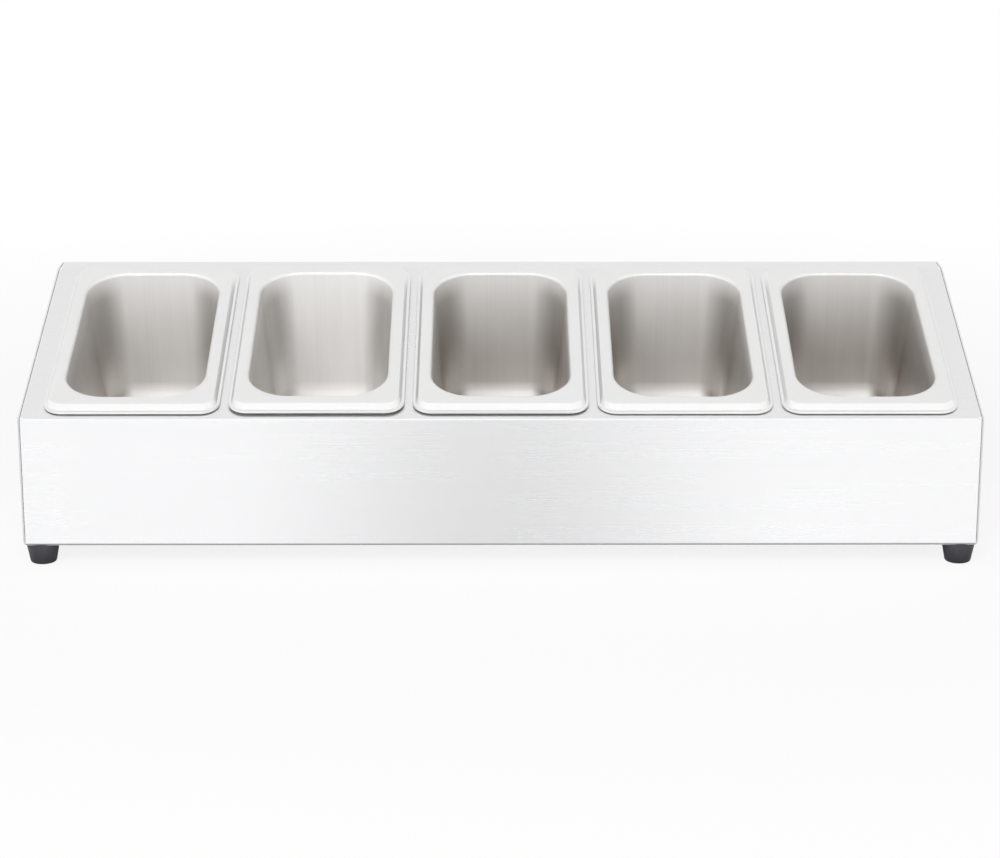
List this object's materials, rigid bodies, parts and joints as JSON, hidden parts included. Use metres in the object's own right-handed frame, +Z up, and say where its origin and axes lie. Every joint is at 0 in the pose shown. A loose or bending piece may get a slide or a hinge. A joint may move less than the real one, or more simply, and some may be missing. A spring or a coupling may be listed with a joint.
{
  "type": "countertop topping station",
  "caption": "Low stainless countertop station with a sloping deck whose cut-outs hold lift-out ingredient pans, on rubber feet, for pizza toppings.",
  "frame": {"origin": "on the table under the middle of the body", "axes": "+X along the row of pans, +Y from the low front to the high rear, +Z up"},
  "size_m": [0.588, 0.1976, 0.1535],
  "materials": {
    "body_steel": "fine satin",
    "pan_steel": "bright drawn",
    "foot_rubber": "matte",
    "fastener_steel": "plain"
  },
  "bodies": {
    "station_body": {"hood": "body_steel", "end_panel_left": "body_steel", "end_panel_right": "body_steel", "foot_front_left": "foot_rubber", "foot_front_right": "foot_rubber", "foot_rear_left": "foot_rubber", "foot_rear_right": "foot_rubber", "foot_screws": "fastener_steel", "foot_washers": "fastener_steel", "foot_nuts": "fastener_steel"},
    "pan_1_body": {"pan_1": "pan_steel"},
    "pan_2_body": {"pan_2": "pan_steel"},
    "pan_3_body": {"pan_3": "pan_steel"},
    "pan_4_body": {"pan_4": "pan_steel"},
    "pan_5_body": {"pan_5": "pan_steel"}
  },
  "joints": [
    {"name": "pan_1_lift", "type": "slide", "parent": "station_body", "child": "pan_1_body", "axis": [0, -0.299, 0.9542], "range_m": [0, 0.13]},
    {"name": "pan_2_lift", "type": "slide", "parent": "station_body", "child": "pan_2_body", "axis": [0, -0.299, 0.9542], "range_m": [0, 0.13]},
    {"name": "pan_3_lift", "type": "slide", "parent": "station_body", "child": "pan_3_body", "axis": [0, -0.299, 0.9542], "range_m": [0, 0.13]},
    {"name": "pan_4_lift", "type": "slide", "parent": "station_body", "child": "pan_4_body", "axis": [0, -0.299, 0.9542], "range_m": [0, 0.13]},
    {"name": "pan_5_lift", "type": "slide", "parent": "station_body", "child": "pan_5_body", "axis": [0, -0.299, 0.9542], "range_m": [0, 0.13]}
  ]
}
